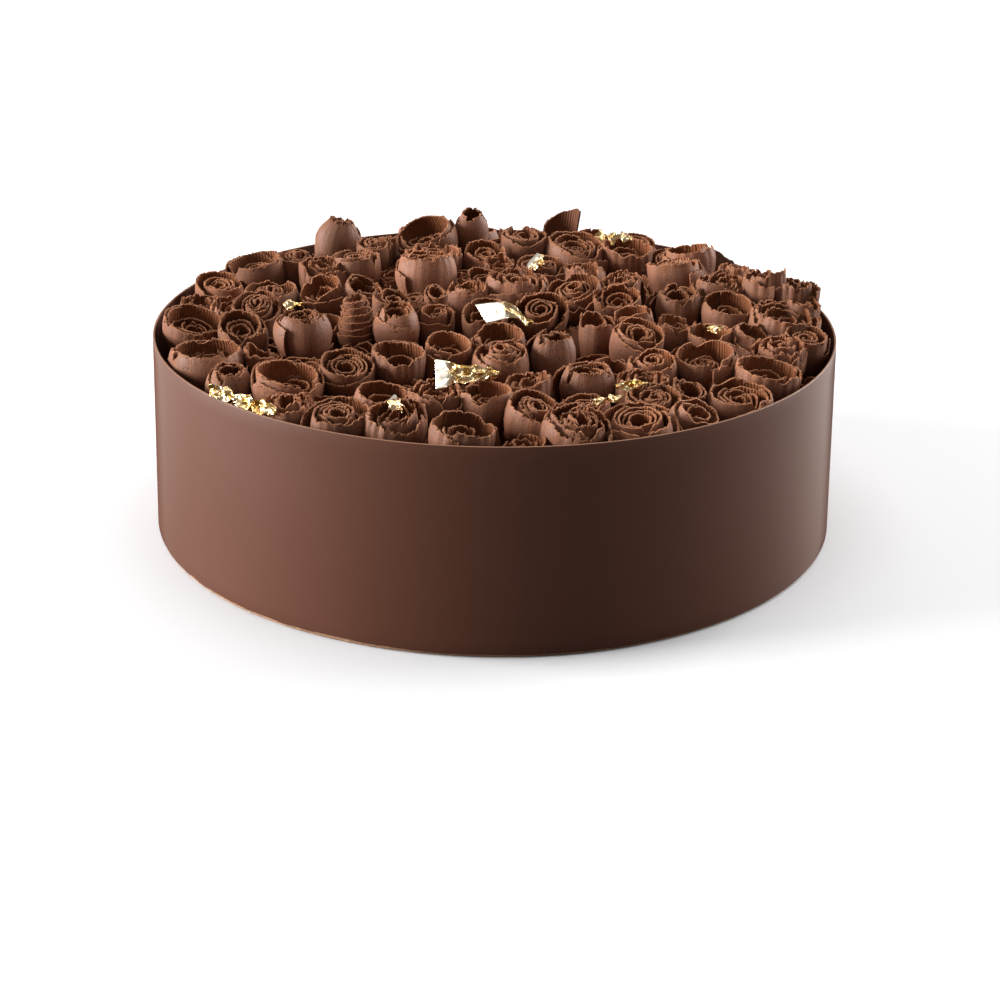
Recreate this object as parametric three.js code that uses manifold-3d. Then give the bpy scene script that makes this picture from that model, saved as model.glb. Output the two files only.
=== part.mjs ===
// A chocolate cake in a thin chocolate band, its top heaped with chocolate curls and gold leaf.
// Millimetres, +Z up, origin at the middle of the base.
import * as THREE from 'three';
import { mergeVertices } from 'three/addons/utils/BufferGeometryUtils.js';
import Module from 'manifold-3d';

const wasm = await Module();
wasm.setup();

// Cake and band: the band leans in a little towards its free upper edge
const BASE_RADIUS = 100;
const RIM_RADIUS = 98.5;
const RIM_HEIGHT = 58;
const BAND_THICKNESS = 1.2;
const BAND_LIFT = 0.6;
const CAKE_HEIGHT = 44;
const ROUND_SIDES = 96;
const GAP = 0.3;

// Heap of curls: a low core, and curls that stand in it up to their own heights
const CORE_RADIUS = 92;
const CORE_SIDES = 48;
const CORE_TOP = 51;
const CURL_HEIGHT = 14.5;
const TALL_CURL_HEIGHT = 22;
const BAND_CLEARANCE = 0.6;
const FIELD_RADIUS = RIM_RADIUS - BAND_THICKNESS - BAND_CLEARANCE;
const HEAP_LIMIT = 80;
const LARGE_CURL = 13.5;
const LARGE_CURL_SIDES = 7;
const SMALL_CURL_SIDES = 6;

// Curls between the shown ones: width and the most of that width, largest first. The heap rises to the back
const FILLERS = [[16, 8], [14, 14], [12, 14], [10, 14]];
const FILLER_TOP = [56, 60];
const HEAP_RISE = 3;
const FILLER_LEAN = 16;
const SEATS = 2400;
const SEAT_STEP = 1009;
const PACKING = 0.86;
const GOLDEN_ANGLE = Math.PI * (3 - Math.sqrt(5));

// Kinds of the filler curls, each with the share of draws up to which it is taken
const FILLER_KINDS = [['rose', 0.46], ['torn', 0.7], ['cup', 0.84], ['barrel', 0.94], ['tube', 1]];

// The curls that stand out: kind, x, y, width, height of the top, lean and the way it leans in degrees
const SHOWN_CURLS = [
  ['torn', 8, -90, 11, 56, 4, 90],
  ['cup', -7, -88, 16, 60, 13, -15],
  ['torn', 22, -85, 17, 60, 14, -60],
  ['torn', -25, -80, 16, 60, 4, -45],
  ['rose', -40, -79, 16, 60, 7, -90],
  ['rose', 37, -80, 19, 59, 11, -90],
  ['rose', 11, -74, 15, 60, 14, -45],
  ['rose', 53, -74, 12, 59, 27, -25],
  ['torn', -53, -73, 14, 60, 9, -90],
  ['rose', 24, -68, 12, 59, 0, 0],
  ['cup', -29, -66, 14, 60, 11, -35],
  ['torn', -15, -65, 15, 61, 3, -90],
  ['cup', -2, -65, 14, 61, 3, 90],
  ['rose', 42, -65, 15, 60, 7, -90],
  ['rose', 65, -60, 16, 59, 8, -77],
  ['tube', 52, -59, 9, 60, 21, -90],
  ['torn', 9, -56, 12, 61, 2, 90],
  ['cup', -55, -54, 19, 61, 6, -55],
  ['torn', 40, -54, 13, 61, 8, -5],
  ['barrel', -71, -52, 14, 61, 7, -90],
  ['barrel', 25, -50, 16, 62, 4, -90],
  ['rose', -40, -48, 15, 62, 16, -90],
  ['cup', 74, -45, 17, 61, 5, -15],
  ['rose', 43, -43, 13, 62, 11, -90],
  ['cup', -26, -41, 15, 63, 6, -90],
  ['rose', 2, -40, 15, 63, 8, -90],
  ['cup', 58, -37, 17, 62, 6, -90],
  ['torn', -65, -36, 8, 61, 11, -90],
  ['cup', -79, -35, 21, 61, 3, 90],
  ['cup', -13, -33, 13, 63, 11, -65],
  ['barrel', 16, -33, 14, 65, 1, 90],
  ['torn', 79, -30, 15, 62, 5, -60],
  ['cup', 1, -28, 14, 64, 11, -90],
  ['rose', 41, -22, 15, 63, 16, -50],
  ['barrel', -54, -20, 16, 66, 5, -90],
  ['rose', 88, -20, 13, 62, 8, -54],
  ['cup', 61, -18, 13, 62, 2, -90],
  ['cup', 73, -18, 11, 62, 18, -20],
  ['rose', -72, -16, 14, 62, 13, -90],
  ['torn', 29, -12, 10, 63, 5, -90],
  ['barrel', -28, -10, 15, 65, 3, -90],
  ['torn', 52, -10, 12, 62, 1, 90],
  ['cup', -86, -9, 19, 61, 15, -45],
  ['cup', -3, -7, 14, 64, 12, -90],
  ['tube', 39, -7, 11, 64, 14, -165],
  ['cone', -40, -6, 11, 68, 0, 0],
  ['rose', -17, -5, 10, 63, 6, -90],
  ['rose', 13, -5, 14, 64, 31, -90],
  ['rose', -69, -3, 16, 63, 20, -70],
  ['torn', 84, -6, 19, 64, 8, -62],
  ['torn', 90, 4, 11, 64, 6, 0],
  ['rose', -30, 2, 11, 65, 12, -90],
  ['cup', 68, 2, 16, 64, 9, -90],
  ['tube', -17, 3, 8, 66, 19, -90],
  ['rose', 36, 5, 13, 65, 23, -90],
  ['barrel', 54, 9, 15, 65, 9, -90],
  ['torn', 88, 13, 12, 67, 3, 90],
  ['torn', 80, 16, 12, 69, 3, 90],
  ['torn', -87, 11, 11, 60, 3, -90],
  ['rose', 23, 11, 16, 65, 21, -125],
  ['tube', -39, 12, 10, 65, 31, -45],
  ['cup', -52, 13, 13, 64, 24, -135],
  ['rose', -67, 14, 16, 63, 3, -90],
  ['torn', -8, 15, 11, 64, 0, 0],
  ['torn', 38, 18, 13, 66, 0, 0],
  ['torn', 68, 18, 15, 66, 3, -90],
  ['torn', 6, 19, 17, 66, 1, 90],
  ['rose', -83, 24, 14, 62, 10, -90],
  ['rose', -4, 27, 11, 64, 7, -90],
  ['barrel', -21, 30, 18, 69, 5, 90],
  ['torn', 73, 29, 13, 66, 3, 90],
  ['torn', 27, 33, 12, 65, 4, 90],
  ['torn', -53, 34, 13, 65, 1, -90],
  ['rose', 54, 34, 17, 67, 12, 150],
  ['rose', 14, 36, 14, 65, 13, -90],
  ['torn', 1, 38, 10, 65, 4, -90],
  ['rose', -43, 40, 15, 66, 2, 90],
  ['cup', -74, 40, 18, 64, 10, -175],
  ['rose', -61, 43, 13, 65, 13, -90],
  ['torn', -19, 46, 16, 66, 2, 90],
  ['rose', -3, 47, 13, 66, 14, -90],
  ['cup', 60, 47, 14, 67, 8, 155],
  ['leaf', 71, 48, 12, 67, 14, 60],
  ['cup', 41, 53, 16, 66, 7, -90],
  ['rose', -39, 54, 11, 66, 7, -90],
  ['rose', 25, 54, 18, 67, 6, -90],
  ['rose', 9, 58, 15, 68, 3, -90],
  ['cup', -23, 62, 18, 68, 20, -140],
  ['bud', -49, 64, 15, 70, 12, 0],
  ['torn', 38, 67, 13, 64, 1, 90],
  ['barrel', -8, 68, 12, 72, 8, -110],
  ['leaf', 22, 82, 10, 71, 8, 20],
];

// Curl profiles from the axis up the outside and down the inside: share of the radius, share of the height
const CURL_PROFILES = {
  rose: [[0, 0], [0.72, 0], [1, 0.55], [0.92, 1], [0.62, 0.88], [0.36, 0.98], [0, 0.8]],
  torn: [[0, 0], [0.74, 0], [1, 0.55], [0.92, 1], [0.6, 0.78], [0.36, 0.94], [0, 0.7]],
  cup: [[0, 0], [0.62, 0], [0.92, 0.5], [1, 1], [0.86, 0.96], [0.6, 0.62], [0, 0.62]],
  barrel: [[0, 0], [0.78, 0], [1, 0.5], [0.78, 1], [0.6, 0.92], [0.42, 0.84], [0, 0.8]],
  bud: [[0, 0], [0.8, 0], [1, 0.42], [0.82, 0.82], [0.48, 1], [0.28, 0.88], [0, 0.88]],
  cone: [[0, 0], [1, 0], [0.86, 0.5], [0.46, 0.88], [0, 1]],
  tube: [[0, 0], [0.9, 0], [1, 0.5], [0.96, 1], [0.62, 0.96], [0.5, 0.6], [0, 0.6]],
};
const RIM_RING = 3;
const SNAIL = 0.12;
const RIM_JITTER = { rose: 0.5, torn: 1.4, cup: 0.5, barrel: 0.5, bud: 0.4, cone: 0.2, tube: 0.6 };

// Torn pieces that stand on edge: narrower towards the top, notched in the middle and bent
const LEAF_CELLS = [3, 3];
const LEAF_THICKNESS = 1.2;
const LEAF_BEND = 3;
const LEAF_WIDE = 0.8;
const LEAF_TAPER = 0.3;
const LEAF_NOTCH = 1;
const LEAF_SUNK = 2;

// Gold leaf: x, y, length, width and direction in degrees of each flake
const GOLD_THICKNESS = 0.4;
const GOLD_CELLS = [5, 3];
const GOLD_CRUMPLE = 0.5;
const GOLD_WAVES = [4.1, 2.8];
const GOLD_DRAPE = 0.35;
const GOLD_CORNERS = 0.25;
const GOLD_TAPER = 0.3;
const GOLD_LIFT_STEP = 0.3;
const GOLD_FLAKES = [
  [-65, -72, 22, 5, -41],
  [-58, -4, 6, 4, 20],
  [-25, -76, 8, 4, -60],
  [-7, -59, 16, 9, -8],
  [2, -14, 13, 9, -15],
  [13, 34, 7, 5, -60],
  [37, 61, 11, 4, 4],
  [29, -73, 8, 4, 25],
  [36, -65, 8, 4, 12],
  [62, -22, 5, 4, 30],
];

const CHOCOLATE = new THREE.MeshStandardMaterial({ color: 0x5b3a2e, roughness: 0.45, flatShading: true });
const BAND_CHOCOLATE = new THREE.MeshStandardMaterial({ color: 0x4a2f26, roughness: 0.35 });
const SPONGE = new THREE.MeshStandardMaterial({ color: 0x3a241a, roughness: 0.9 });
const GOLD = new THREE.MeshStandardMaterial({
  color: 0xe0b64a, roughness: 0.25, metalness: 1, flatShading: true,
});

// Draws that come out alike every time
let drawState = 20;
function draw(low, high) {
  drawState = (drawState * 16807) % 2147483647;
  return low + ((high - low) * drawState) / 2147483647;
}

// The band's outer radius at a height
function outerRadius(height) {
  return BASE_RADIUS + ((RIM_RADIUS - BASE_RADIUS) * height) / RIM_HEIGHT;
}

// A turned geometry with its axis upright, from points of radius and height
function turned(points, sides) {
  const outline = points.map(([radius, height]) => new THREE.Vector2(radius, height));
  return new THREE.LatheGeometry(outline, sides).rotateX(Math.PI / 2);
}

// A closed geometry as a solid, without the empty triangles at its poles
function solidOf(geometry) {
  geometry.deleteAttribute('normal');
  geometry.deleteAttribute('uv');
  const merged = mergeVertices(geometry, 1e-4);
  const corners = merged.index.array;
  const kept = [];
  for (let i = 0; i < corners.length; i += 3) {
    const [a, b, c] = corners.slice(i, i + 3);
    if (a !== b && b !== c && c !== a) kept.push(a, b, c);
  }
  const vertProperties = merged.attributes.position.array;
  return new wasm.Manifold(new wasm.Mesh({ numProp: 3, vertProperties, triVerts: new Uint32Array(kept) }));
}

function geometryOf(solid) {
  const { vertProperties, triVerts } = solid.getMesh();
  const geometry = new THREE.BufferGeometry();
  geometry.setAttribute('position', new THREE.BufferAttribute(vertProperties, 3));
  geometry.setIndex(new THREE.BufferAttribute(triVerts, 1));
  geometry.computeVertexNormals();
  return geometry;
}

function namedMesh(name, solid, material) {
  const mesh = new THREE.Mesh(geometryOf(solid), material);
  mesh.name = name;
  return mesh;
}

// A sheet over a grid of cells, its two faces split alike: place gives the point at u and v from -1 to 1
function sheet([across, along], thickness, place) {
  const points = [];
  const corners = [];
  const row = across + 1;
  const layer = row * (along + 1);
  for (const side of [-0.5, 0.5]) {
    for (let j = 0; j <= along; j++) {
      for (let i = 0; i <= across; i++) {
        const point = place((2 * i) / across - 1, (2 * j) / along - 1);
        points.push(point.x, point.y, point.z + side * thickness);
      }
    }
  }
  for (let j = 0; j < along; j++) {
    for (let i = 0; i < across; i++) {
      const a = j * row + i;
      const [b, c, d] = [a + 1, a + row, a + row + 1];
      corners.push(a, c, b, b, c, d);
      corners.push(a + layer, b + layer, c + layer, b + layer, d + layer, c + layer);
    }
  }
  const edge = sheetEdge(across, along);
  edge.forEach((a, k) => {
    const b = edge[(k + 1) % edge.length];
    corners.push(a, b, b + layer, a, b + layer, a + layer);
  });
  const geometry = new THREE.BufferGeometry();
  geometry.setAttribute('position', new THREE.Float32BufferAttribute(points, 3));
  return geometry.setIndex(corners);
}

// The grid points round a sheet's edge, counterclockwise
function sheetEdge(across, along) {
  const row = across + 1;
  const edge = [];
  for (let i = 0; i < across; i++) edge.push(i);
  for (let j = 0; j < along; j++) edge.push(j * row + across);
  for (let i = across; i > 0; i--) edge.push(along * row + i);
  for (let j = along; j > 0; j--) edge.push(j * row);
  return edge;
}

// The shown curls, and fillers in the room between them
function layOutCurls() {
  const curls = SHOWN_CURLS.map(([kind, x, y, width, top, lean, toward]) => (
    { kind, x, y, width, top, lean, toward }
  ));
  for (const [width, most] of FILLERS) {
    const full = curls.length + most;
    for (let i = 0; i < SEATS && curls.length < full; i++) {
      const seat = seatAt((i * SEAT_STEP) % SEATS);
      if (hasRoom(seat, width, curls)) curls.push(fillerCurl(seat, width));
    }
  }
  return curls;
}

// Seats spread evenly over the field inside the band
function seatAt(number) {
  const distance = FIELD_RADIUS * Math.sqrt((number + 0.5) / SEATS);
  const angle = number * GOLDEN_ANGLE;
  return { x: distance * Math.cos(angle), y: distance * Math.sin(angle), distance };
}

function hasRoom(seat, width, curls) {
  if (seat.distance > FIELD_RADIUS - width / 2) return false;
  return curls.every((curl) => (
    Math.hypot(seat.x - curl.x, seat.y - curl.y) > (PACKING * (width + curl.width)) / 2
  ));
}

function fillerCurl({ x, y }, width) {
  const pick = draw(0, 1);
  const kind = FILLER_KINDS.find(([, limit]) => pick <= limit)[0];
  const top = draw(...FILLER_TOP) + (HEAP_RISE * y) / FIELD_RADIUS;
  return { kind, x, y, width, top, lean: draw(0, FILLER_LEAN), toward: draw(0, 360) };
}

// A rolled curl, drawn in like a snail, with an uneven rim
function rolledCurl(curl) {
  const sides = curl.width > LARGE_CURL ? LARGE_CURL_SIDES : SMALL_CURL_SIDES;
  const profile = CURL_PROFILES[curl.kind];
  const height = curl.top - CORE_TOP > CURL_HEIGHT / 2 ? TALL_CURL_HEIGHT : CURL_HEIGHT;
  const points = profile.map(([radius, share]) => [(radius * curl.width) / 2, (share - 1) * height]);
  const geometry = turned(points, sides);
  const position = geometry.attributes.position;
  const rim = Array.from({ length: sides }, () => draw(-1, 0) * RIM_JITTER[curl.kind]);
  for (let k = 0; k < position.count; k++) {
    const side = Math.floor(k / points.length) % sides;
    const drawnIn = 1 - (SNAIL * side) / sides;
    const drop = k % points.length === RIM_RING ? rim[side] : 0;
    position.setXYZ(k, position.getX(k) * drawnIn, position.getY(k) * drawnIn, position.getZ(k) + drop);
  }
  return geometry;
}

// A torn piece of curl that stands on edge
function leafCurl(curl) {
  const height = curl.top - CORE_TOP + LEAF_SUNK;
  const leaf = sheet(LEAF_CELLS, LEAF_THICKNESS, (u, v) => new THREE.Vector3(
    (u * curl.width * (LEAF_WIDE - LEAF_TAPER * v)) / 2,
    ((v - 1) * height - LEAF_NOTCH * (1 - Math.abs(u)) * (v + 1)) / 2,
    LEAF_BEND * (1 - u * u),
  ));
  return leaf.rotateX(Math.PI / 2);
}

function placeCurl(curl) {
  const geometry = curl.kind === 'leaf' ? leafCurl(curl) : rolledCurl(curl);
  const toward = THREE.MathUtils.degToRad(curl.toward);
  const leanAxis = new THREE.Vector3(-Math.sin(toward), Math.cos(toward), 0);
  const lean = new THREE.Matrix4().makeRotationAxis(leanAxis, THREE.MathUtils.degToRad(curl.lean));
  geometry.rotateZ(draw(0, 2 * Math.PI));
  geometry.applyMatrix4(lean);
  return geometry.translate(curl.x, curl.y, curl.top);
}

function cakeSolid() {
  const inner = (height) => outerRadius(height) - BAND_THICKNESS - GAP;
  const profile = [[0, 0], [inner(0), 0], [inner(CAKE_HEIGHT), CAKE_HEIGHT], [0, CAKE_HEIGHT]];
  return solidOf(turned(profile, ROUND_SIDES));
}

function bandSolid() {
  const profile = [
    [outerRadius(BAND_LIFT) - BAND_THICKNESS, BAND_LIFT],
    [outerRadius(BAND_LIFT), BAND_LIFT],
    [RIM_RADIUS, RIM_HEIGHT],
    [RIM_RADIUS - BAND_THICKNESS, RIM_HEIGHT],
  ];
  return solidOf(turned([...profile, profile[0]], ROUND_SIDES));
}

// The room inside the band that the heap keeps to
function heapRoom() {
  const floor = CAKE_HEIGHT + GAP;
  const profile = [[0, floor], [FIELD_RADIUS, floor], [FIELD_RADIUS, HEAP_LIMIT], [0, HEAP_LIMIT]];
  return solidOf(turned(profile, ROUND_SIDES));
}

function heapSolid() {
  const floor = CAKE_HEIGHT + GAP;
  const profile = [[0, floor], [CORE_RADIUS, floor], [CORE_RADIUS, CORE_TOP], [0, CORE_TOP]];
  const core = solidOf(turned(profile, CORE_SIDES));
  const curls = layOutCurls().map((curl) => solidOf(placeCurl(curl)));
  return curls.reduce((heap, curl) => heap.add(curl), core).intersect(heapRoom());
}

// Gold leaf that follows the heap below it, lifted until it lies clear of the curls and the band
function goldFlake([x, y, length, width, direction], ground) {
  const surface = new THREE.Mesh(geometryOf(ground), GOLD);
  const ray = new THREE.Raycaster();
  const down = new THREE.Vector3(0, 0, -1);
  const angle = THREE.MathUtils.degToRad(direction);
  const heightAt = (px, py) => {
    ray.set(new THREE.Vector3(px, py, HEAP_LIMIT), down);
    const met = ray.intersectObject(surface)[0]?.point.z ?? RIM_HEIGHT;
    return Math.hypot(px, py) > FIELD_RADIUS ? Math.max(met, RIM_HEIGHT) : met;
  };
  const middle = heightAt(x, y);
  const flake = sheet(GOLD_CELLS, GOLD_THICKNESS, (u, v) => {
    const ragged = 1 - GOLD_CORNERS * Math.abs(u * v);
    const [a, b] = [(u * length * ragged) / 2, (v * width * ragged * (1 - GOLD_TAPER * u)) / 2];
    const px = x + a * Math.cos(angle) - b * Math.sin(angle);
    const py = y + a * Math.sin(angle) + b * Math.cos(angle);
    const drape = GOLD_DRAPE * (heightAt(px, py) - middle);
    const crumple = GOLD_CRUMPLE * Math.sin(GOLD_WAVES[0] * u + v + x) * Math.cos(GOLD_WAVES[1] * v - y);
    return new THREE.Vector3(px, py, middle + drape + crumple);
  });
  let solid = solidOf(flake);
  while (solid.intersect(ground).volume() > 0) solid = solid.translate([0, 0, GOLD_LIFT_STEP]);
  return solid.translate([0, 0, GAP]);
}

function buildCake() {
  const cake = new THREE.Group();
  const band = bandSolid();
  const heap = heapSolid();
  cake.add(namedMesh('cake', cakeSolid(), SPONGE));
  cake.add(namedMesh('chocolate_band', band, BAND_CHOCOLATE));
  cake.add(namedMesh('chocolate_curls', heap, CHOCOLATE));
  GOLD_FLAKES.forEach((flake, i) => {
    const name = `gold_leaf_${String(i + 1).padStart(2, '0')}`;
    cake.add(namedMesh(name, goldFlake(flake, heap.add(band)), GOLD));
  });
  return cake;
}

export default buildCake();
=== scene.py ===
# Chocolate curl cake: a smooth chocolate band, a heap of rolled curls and crumpled gold leaf
import math
import bpy
import numpy as np
from mathutils import Matrix, Vector
from mathutils.bvhtree import BVHTree


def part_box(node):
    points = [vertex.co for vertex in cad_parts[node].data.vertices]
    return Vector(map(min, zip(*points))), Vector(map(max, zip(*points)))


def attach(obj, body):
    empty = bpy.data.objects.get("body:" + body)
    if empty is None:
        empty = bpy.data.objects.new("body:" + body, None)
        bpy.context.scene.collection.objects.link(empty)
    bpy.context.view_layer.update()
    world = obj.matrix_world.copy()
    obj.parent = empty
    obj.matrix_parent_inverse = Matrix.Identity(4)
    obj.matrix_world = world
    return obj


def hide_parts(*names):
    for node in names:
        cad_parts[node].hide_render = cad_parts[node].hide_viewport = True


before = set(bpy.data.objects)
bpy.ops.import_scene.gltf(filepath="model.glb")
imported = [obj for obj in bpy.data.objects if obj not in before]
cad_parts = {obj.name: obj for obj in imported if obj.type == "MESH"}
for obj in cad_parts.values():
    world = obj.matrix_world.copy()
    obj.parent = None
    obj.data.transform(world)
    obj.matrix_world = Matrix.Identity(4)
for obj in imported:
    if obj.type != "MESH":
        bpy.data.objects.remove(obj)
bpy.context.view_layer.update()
mm = 0.001
print("frame loaded:", len(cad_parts), "nodes")


# small helpers

def clearSelection():
    if bpy.context.object and bpy.context.object.mode != 'OBJECT':
        bpy.ops.object.mode_set(mode='OBJECT')
    bpy.ops.object.select_all(action='DESELECT')


def pickOnly(piece):
    clearSelection()
    bpy.context.view_layer.objects.active = piece
    piece.select_set(True)


def applyModifiers(piece):
    pickOnly(piece)
    for modifier in list(piece.modifiers):
        bpy.ops.object.modifier_apply(modifier=modifier.name)


def smoothShade(piece, degrees):
    pickOnly(piece)
    bpy.ops.object.shade_smooth_by_angle(angle=math.radians(degrees))


def softenEdges(piece, width):
    soften = piece.modifiers.new("edges", 'BEVEL')
    soften.width = width * mm
    soften.segments = 3
    soften.limit_method = 'ANGLE'
    soften.angle_limit = math.radians(50)


def makeUneven(piece, group, size, strength, middle=0.5):   # moves the points of a group up and down
    clouds = bpy.data.textures.new(group, 'CLOUDS')
    clouds.noise_scale = size * mm
    uneven = piece.modifiers.new(group, 'DISPLACE')
    uneven.texture = clouds
    uneven.texture_coords = 'LOCAL'
    uneven.direction = 'Z'
    uneven.mid_level = middle
    uneven.strength = strength * mm
    uneven.vertex_group = group


def setMarks(piece, marks):   # values of each point, read by its material
    for name, values in marks.items():
        layer = piece.data.attributes.new(name, 'FLOAT', 'POINT')
        layer.data.foreach_set("value", np.asarray(values, np.float32).ravel())


def declare(piece, name, material, node):
    piece.name = name
    piece.data.name = name
    piece.data.materials.clear()
    piece.data.materials.append(material)
    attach(piece, "root")
    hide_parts(node)
    return piece


def meshFromArrays(name, points, faces):   # points in mm, faces all with the same number of corners
    mesh = bpy.data.meshes.new(name)
    faces = np.asarray(faces, np.int32)
    mesh.vertices.add(len(points))
    mesh.vertices.foreach_set("co", (np.asarray(points) * mm).astype(np.float32).ravel())
    mesh.loops.add(faces.size)
    mesh.loops.foreach_set("vertex_index", faces.ravel())
    mesh.polygons.add(len(faces))
    mesh.polygons.foreach_set("loop_start", np.arange(0, faces.size, faces.shape[1], dtype=np.int32))
    mesh.update(calc_edges=True)
    mesh.validate()
    piece = bpy.data.objects.new(name, mesh)
    bpy.context.scene.collection.objects.link(piece)
    return piece


# camera, fitted to the band's rim and lower edge

cameraSetup = {
    "elevation": 23.38,   # degrees above the horizon
    "distance": 619.7,    # mm from the middle of the base
    "aim": (2.1, 0.0, 1.5),
    "roll": 0.71,         # degrees
    "lens": 73.72,
}


def addCamera(setup):
    up = math.radians(setup["elevation"])
    place = Vector((0, -math.cos(up), math.sin(up))) * setup["distance"] * mm
    look = (Vector(setup["aim"]) * mm - place).to_track_quat('-Z', 'Y').to_matrix()
    bpy.ops.object.camera_add(location=place)
    camera = bpy.context.object
    camera.rotation_euler = (look @ Matrix.Rotation(math.radians(setup["roll"]), 3, 'Z')).to_euler()
    camera.data.lens = setup["lens"]
    camera.data.sensor_width = 36
    camera.data.clip_start = 0.01
    camera.data.clip_end = 50
    bpy.context.scene.camera = camera


addCamera(cameraSetup)
print("camera placed")


# material helpers

def newMaterial(name):
    material = bpy.data.materials.new(name)
    material.use_nodes = True
    tree = material.node_tree
    tree.nodes.clear()
    out = tree.nodes.new("ShaderNodeOutputMaterial")
    shader = tree.nodes.new("ShaderNodeBsdfPrincipled")
    tree.links.new(shader.outputs["BSDF"], out.inputs["Surface"])
    return material, tree, shader


def plug(tree, socket, value):   # a link where the value is a socket, a set number or colour where it isn't
    if isinstance(value, bpy.types.NodeSocket):
        tree.links.new(value, socket)
    else:
        socket.default_value = value


def noise(tree, vector, scale, detail=3):
    node = tree.nodes.new("ShaderNodeTexNoise")
    plug(tree, node.inputs["Vector"], vector)
    plug(tree, node.inputs["Scale"], scale)
    node.inputs["Detail"].default_value = detail
    return node.outputs["Fac"]


def remap(tree, value, fromLow, fromHigh, toLow=0.0, toHigh=1.0):
    node = tree.nodes.new("ShaderNodeMapRange")
    for key, number in zip(("From Min", "From Max", "To Min", "To Max"), (fromLow, fromHigh, toLow, toHigh)):
        node.inputs[key].default_value = number
    tree.links.new(value, node.inputs["Value"])
    return node.outputs["Result"]


def maths(tree, operation, first, second=0.0):
    node = tree.nodes.new("ShaderNodeMath")
    node.operation = operation
    plug(tree, node.inputs[0], first)
    plug(tree, node.inputs[1], second)
    return node.outputs[0]


def blendColour(tree, amount, first, second, how='MIX'):
    node = tree.nodes.new("ShaderNodeMix")
    node.data_type = 'RGBA'
    node.blend_type = how
    for socket, value in zip((node.inputs[0], node.inputs[6], node.inputs[7]), (amount, first, second)):
        plug(tree, socket, value)
    return node.outputs[2]


def shadeColour(tree, colour, shade):   # a colour made lighter or darker by a value
    return blendColour(tree, 1.0, colour, shade, 'MULTIPLY')


def bump(tree, height, strength, distance, normal=None):
    node = tree.nodes.new("ShaderNodeBump")
    node.inputs["Strength"].default_value = strength
    node.inputs["Distance"].default_value = distance * mm
    tree.links.new(height, node.inputs["Height"])
    if normal:
        tree.links.new(normal, node.inputs["Normal"])
    return node.outputs["Normal"]


def attribute(tree, name):
    node = tree.nodes.new("ShaderNodeAttribute")
    node.attribute_name = name
    return node.outputs["Fac"]


def objectPlace(tree):
    return tree.nodes.new("ShaderNodeTexCoord").outputs["Object"]


def heightOver(tree, low, high):   # 0 up to the low height in mm, 1 from the high one
    split = tree.nodes.new("ShaderNodeSeparateXYZ")
    tree.links.new(objectPlace(tree), split.inputs[0])
    return remap(tree, split.outputs["Z"], low * mm, high * mm)


def srgb(red, green, blue):
    parts = [v / 255 for v in (red, green, blue)]
    return tuple(v / 12.92 if v <= 0.04045 else ((v + 0.055) / 1.055) ** 2.4 for v in parts) + (1,)


# chocolate grain, shared by all the chocolate: soft patches with a fine grain in them

def makeGrainGroup():
    group = bpy.data.node_groups.new("chocolateGrain", 'ShaderNodeTree')
    sockets = group.interface
    sockets.new_socket(name="Vector", in_out='INPUT', socket_type='NodeSocketVector')
    for name in ("Patch Scale", "Grain Scale", "Contrast"):
        sockets.new_socket(name=name, in_out='INPUT', socket_type='NodeSocketFloat')
    for name in ("Shade", "Patch", "Relief"):
        sockets.new_socket(name=name, in_out='OUTPUT', socket_type='NodeSocketFloat')
    enter = group.nodes.new("NodeGroupInput").outputs
    leave = group.nodes.new("NodeGroupOutput").inputs
    patch = noise(group, enter["Vector"], enter["Patch Scale"], 4)
    grain = noise(group, enter["Vector"], enter["Grain Scale"], 2)
    relief = maths(group, 'ADD', maths(group, 'MULTIPLY', patch, 0.65), maths(group, 'MULTIPLY', grain, 0.35))
    swing = maths(group, 'MULTIPLY', maths(group, 'SUBTRACT', relief, 0.5), enter["Contrast"])
    group.links.new(maths(group, 'ADD', swing, 1.0), leave["Shade"])
    group.links.new(patch, leave["Patch"])
    group.links.new(relief, leave["Relief"])
    return group


grainGroup = makeGrainGroup()


def grainOn(tree, patchScale, grainScale, contrast):
    node = tree.nodes.new("ShaderNodeGroup")
    node.node_tree = grainGroup
    tree.links.new(objectPlace(tree), node.inputs["Vector"])
    for name, value in (("Patch Scale", patchScale), ("Grain Scale", grainScale), ("Contrast", contrast)):
        node.inputs[name].default_value = value
    return node.outputs


# band: a ring drawn up from the lower edge, leaning in to the rim

bandLook = {
    "colour": srgb(94, 56, 41),
    "cut": srgb(130, 90, 66),   # paler cut edges at the rim and the foot: partly the cut chocolate's own colour, partly a painted highlight where the edges catch the light
    "cutSlope": (0.3, 0.8),     # how far an edge's faces turn up or down
    "patches": 14,              # per metre
    "grain": 700,
    "contrast": 0.25,
    "relief": (0.12, 0.4),      # strength, and depth in mm
    "roughness": (0.4, 0.5),
    "outside": (70, 90),        # mm from the axis, measured along a face's normal
    "inside": 0.6,              # painted shade: the inside is darkened as if in shadow
    "sheen": (0.27, 0.7),       # at the foot and at the rim, on the outside only
    "sheenRoughness": 0.36,
    "sheenTint": (1.0, 0.88, 0.79, 1),
    "glance": (0.81, 0.92),     # the sheen fades on faces that are seen edge on
    "ior": 1.35,
}

bandShape = {
    "sides": 288,
    "baseRadius": 100.0,
    "rimRadius": 98.5,
    "lift": 0.6,
    "rim": 58.0,
    "steps": 14,
    "thickness": 0.65,
    "edgeRound": 0.2,
    "edgeWave": 1.6,      # height of the lower edge's waves
    "waveSize": 12.0,
    "waveMiddle": 0.15,   # the waves go up more than down
    "waveShare": 0.3,     # of the waves all round
    "cutSide": (-135, 38),   # where they are full: direction and spread in degrees
}


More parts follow.
